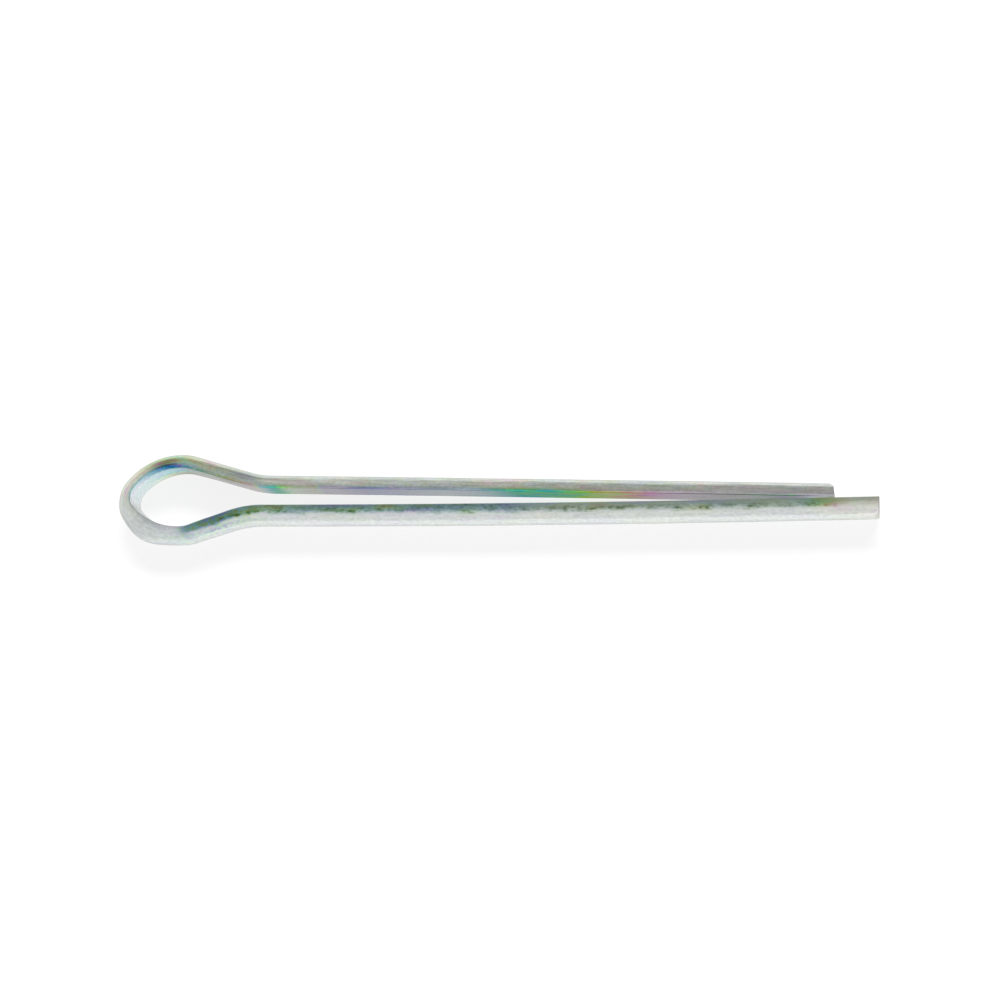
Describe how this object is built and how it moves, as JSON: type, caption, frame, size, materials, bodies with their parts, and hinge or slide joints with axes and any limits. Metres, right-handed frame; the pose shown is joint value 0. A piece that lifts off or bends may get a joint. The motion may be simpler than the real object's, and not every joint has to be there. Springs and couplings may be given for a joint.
{
  "type": "cotter pin",
  "caption": "Cotter pin of half-round steel wire, folded into an open oval eye with one leg longer than the other, lying on its side.",
  "frame": {"origin": "on the shank's axis at the roots of the legs, where the eye's necks end, at mid height of the wire as the pin lies on its side", "axes": "+X along the shank from the eye to the tips, +Y from the long leg towards the short leg, +Z out of the plane in which the wire is folded"},
  "size_m": [0.0724, 0.009, 0.0031],
  "materials": {
    "zinc_plate": "bright zinc plate with a thin iridescent passivation, over fine drawing lines along the wire"
  },
  "bodies": {
    "root": {"cotter_pin": "zinc_plate"}
  },
  "joints": []
}
